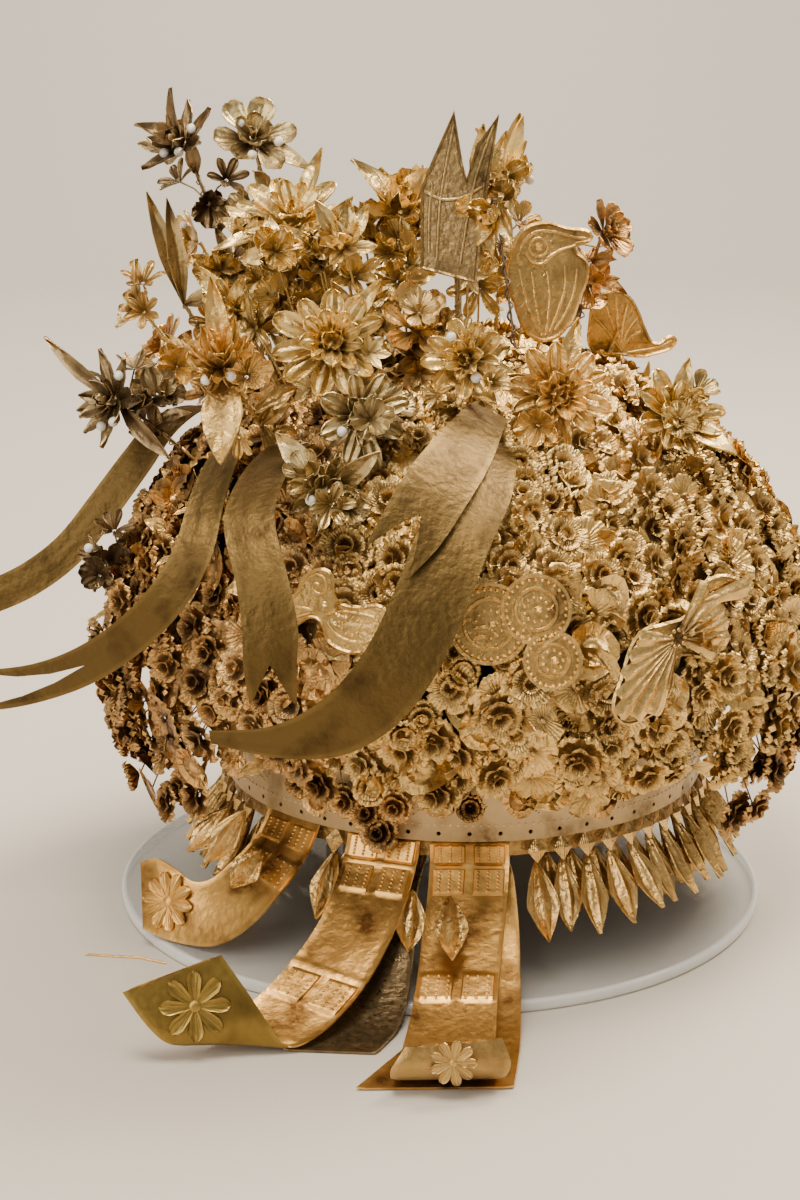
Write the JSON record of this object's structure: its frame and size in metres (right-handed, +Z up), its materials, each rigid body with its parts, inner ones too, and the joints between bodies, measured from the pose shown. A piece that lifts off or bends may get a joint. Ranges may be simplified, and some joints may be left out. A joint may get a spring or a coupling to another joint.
{
  "type": "ceremonial headdress on a clear display stand",
  "caption": "Hollow festive crown of gilt stamped rosettes with a diadem band, kite fringe, curled strips, foil ribbons and wired metal blossoms, on a clear disc stand.",
  "frame": {"origin": "on the table, at the underside of the clear disc, under the axis of the dome", "axes": "+Z up, the wearer's front faces -Y, and the wearer's left is +X"},
  "size_m": [0.3626, 0.3464, 0.337],
  "materials": {
    "clear_stand": "clear polished acrylic",
    "gilt": "aged gilt stamped sheet",
    "rust_gilt": "coppery tarnished gilt sheet",
    "pale_gilt": "pale beige gilt sheet",
    "olive_gilt": "satin olive gilt foil",
    "warm_gilt": "smooth warm gilt sheet",
    "dark_gilt": "dark tarnished gilt sheet"
  },
  "bodies": {
    "root": {"display_stand": "clear_stand", "crown_frame_front": "dark_gilt", "crown_frame_front_right": "dark_gilt", "crown_frame_right": "dark_gilt", "crown_frame_back_right": "dark_gilt", "crown_frame_back": "dark_gilt", "crown_frame_back_left": "dark_gilt", "crown_frame_left": "dark_gilt", "crown_frame_front_left": "dark_gilt", "diadem_band": "pale_gilt", "rosette_panel_front": "gilt", "rosette_panel_front_right": "gilt", "rosette_panel_right": "gilt", "rosette_panel_back_right": "gilt", "rosette_panel_back": "gilt", "rosette_panel_back_left": "gilt", "rosette_panel_left": "rust_gilt", "rosette_panel_front_left": "rust_gilt", "rosette_cap": "gilt", "kite_fringe": "gilt", "pendant_strip_left": "warm_gilt", "pendant_strip_middle": "warm_gilt", "pendant_strip_dark": "dark_gilt", "pendant_strip_front": "warm_gilt", "pendant_strip_rear": "warm_gilt", "ribbon_far_left": "olive_gilt", "ribbon_left_long": "olive_gilt", "ribbon_left_short": "olive_gilt", "ribbon_centre_short": "olive_gilt", "ribbon_centre_long": "olive_gilt", "medallion_plates": "olive_gilt", "bow_plate_right": "pale_gilt", "bow_plate_left": "gilt", "winged_plate": "warm_gilt", "bird_head": "pale_gilt", "box_leaf": "olive_gilt", "willow_spray": "olive_gilt", "blossom_top_left_spiky": "dark_gilt", "blossom_top_left_round": "pale_gilt", "blossom_orange_side": "warm_gilt", "blossom_lotus": "pale_gilt", "blossom_crumpled": "pale_gilt", "blossom_dark_round": "dark_gilt", "blossom_small_left": "warm_gilt", "blossom_back_left": "rust_gilt", "blossom_dark_left": "dark_gilt", "blossom_bud_cluster": "gilt", "blossom_large": "pale_gilt", "blossom_lower_centre": "olive_gilt", "blossom_lower_left": "olive_gilt", "blossom_middle": "pale_gilt", "blossom_spiky_centre": "gilt", "blossom_pale_right": "pale_gilt", "blossom_behind_bird": "rust_gilt", "blossom_leafy_top": "gilt", "blossom_round_leaves": "warm_gilt", "leaf_cluster_dark": "dark_gilt"}
  },
  "joints": []
}
